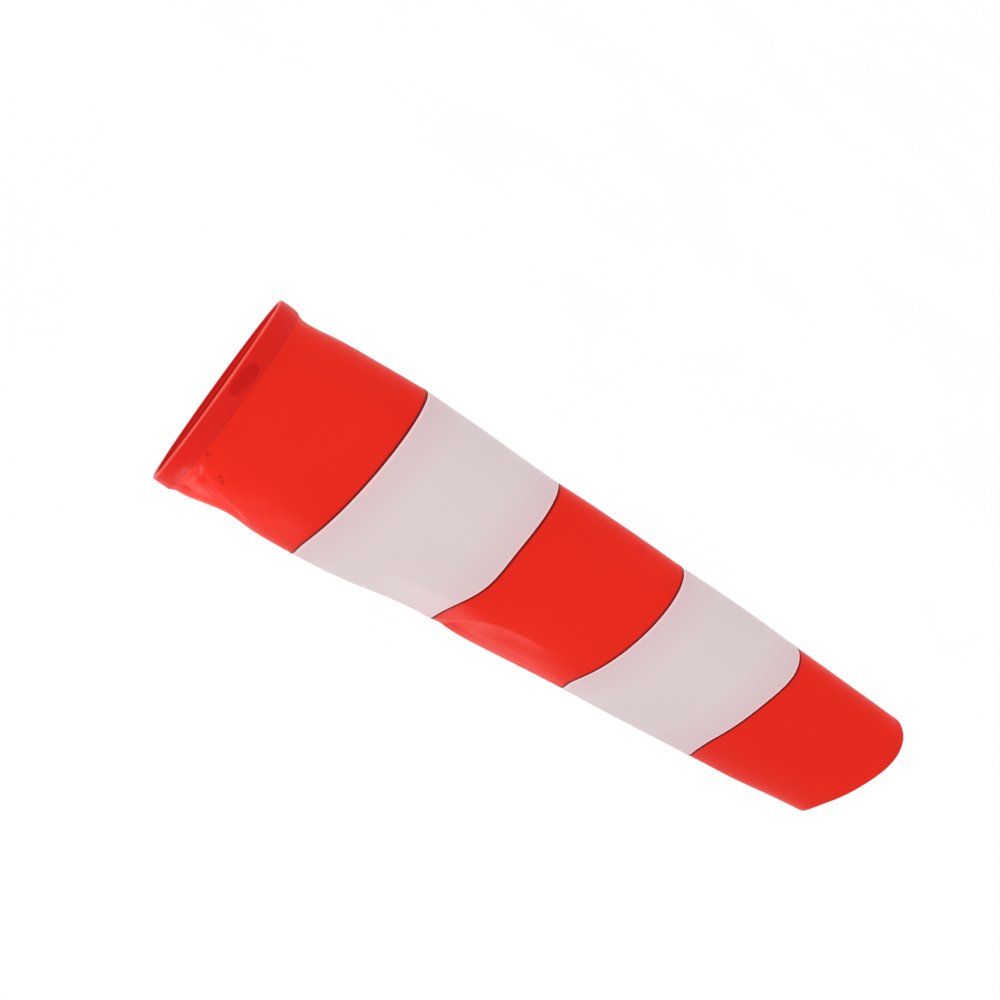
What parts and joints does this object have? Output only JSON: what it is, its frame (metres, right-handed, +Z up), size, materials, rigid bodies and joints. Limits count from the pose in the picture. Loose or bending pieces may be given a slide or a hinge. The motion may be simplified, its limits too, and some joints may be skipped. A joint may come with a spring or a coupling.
{
  "type": "windsock sleeve",
  "caption": "Tapered wind-direction sleeve of red and white cloth bands, held open by a wire hoop sewn into its mouth hem, with an open tail.",
  "frame": {"origin": "centre of the wire hoop at the mouth", "axes": "+X along the sleeve from the mouth to the open tail, +Z up, +Y to the side that carries the side seams"},
  "size_m": [1.1229, 0.3, 0.2988],
  "materials": {
    "red_cloth": "smooth coated woven polyester, satin sheen",
    "white_cloth": "smooth coated woven polyester, satin sheen",
    "hem_cloth": "two plies of the red cloth, sewn",
    "binding_tape": "plain woven tape",
    "thread": "polyester sewing thread",
    "pale_thread": "polyester sewing thread",
    "hoop_steel": "zinc plated spring wire",
    "ferrule_brass": "crimped tube"
  },
  "bodies": {
    "mouth": {"hoop_wire": "hoop_steel", "hoop_ferrule": "ferrule_brass", "mouth_hem": "hem_cloth", "hem_stitching": "thread"},
    "band_1": {"band_1": "red_cloth", "side_seam_1": "red_cloth", "seam_stitching_1": "thread"},
    "band_2": {"band_2": "white_cloth", "side_seam_2": "white_cloth", "seam_binding_1": "binding_tape", "seam_stitching_2": "pale_thread"},
    "band_3": {"band_3": "red_cloth", "side_seam_3": "red_cloth", "seam_binding_2": "binding_tape", "seam_stitching_3": "thread"},
    "band_4": {"band_4": "white_cloth", "side_seam_4": "white_cloth", "seam_binding_3": "binding_tape", "seam_stitching_4": "pale_thread"},
    "band_5": {"band_5": "red_cloth", "side_seam_5": "red_cloth", "seam_binding_4": "binding_tape", "tail_hem": "red_cloth", "tail_stitching": "thread"}
  },
  "joints": [
    {"name": "neck_droop", "type": "hinge", "parent": "mouth", "child": "band_1", "pos_m": [0.077, 0, -0.00249], "axis": [0, 1, 0], "range_deg": [-8, 20], "stiffness_Nm_per_rad": 8, "springref_deg": -6.86},
    {"name": "seam_1_droop", "type": "hinge", "parent": "band_1", "child": "band_2", "pos_m": [0.268, 0, -0.00249], "axis": [0, 1, 0], "range_deg": [-8, 17.5], "stiffness_Nm_per_rad": 6, "springref_deg": -5.9},
    {"name": "seam_2_droop", "type": "hinge", "parent": "band_2", "child": "band_3", "pos_m": [0.49, 0, -0.00249], "axis": [0, 1, 0], "range_deg": [-8, 17.5], "stiffness_Nm_per_rad": 4, "springref_deg": -4.64},
    {"name": "seam_3_droop", "type": "hinge", "parent": "band_3", "child": "band_4", "pos_m": [0.712, 0, -0.00249], "axis": [0, 1, 0], "range_deg": [-8, 17.5], "stiffness_Nm_per_rad": 2.5, "springref_deg": -2.95},
    {"name": "seam_4_droop", "type": "hinge", "parent": "band_4", "child": "band_5", "pos_m": [0.934, 0, -0.00249], "axis": [0, 1, 0], "range_deg": [-8, 17.5], "stiffness_Nm_per_rad": 1.5, "springref_deg": -0.88}
  ]
}
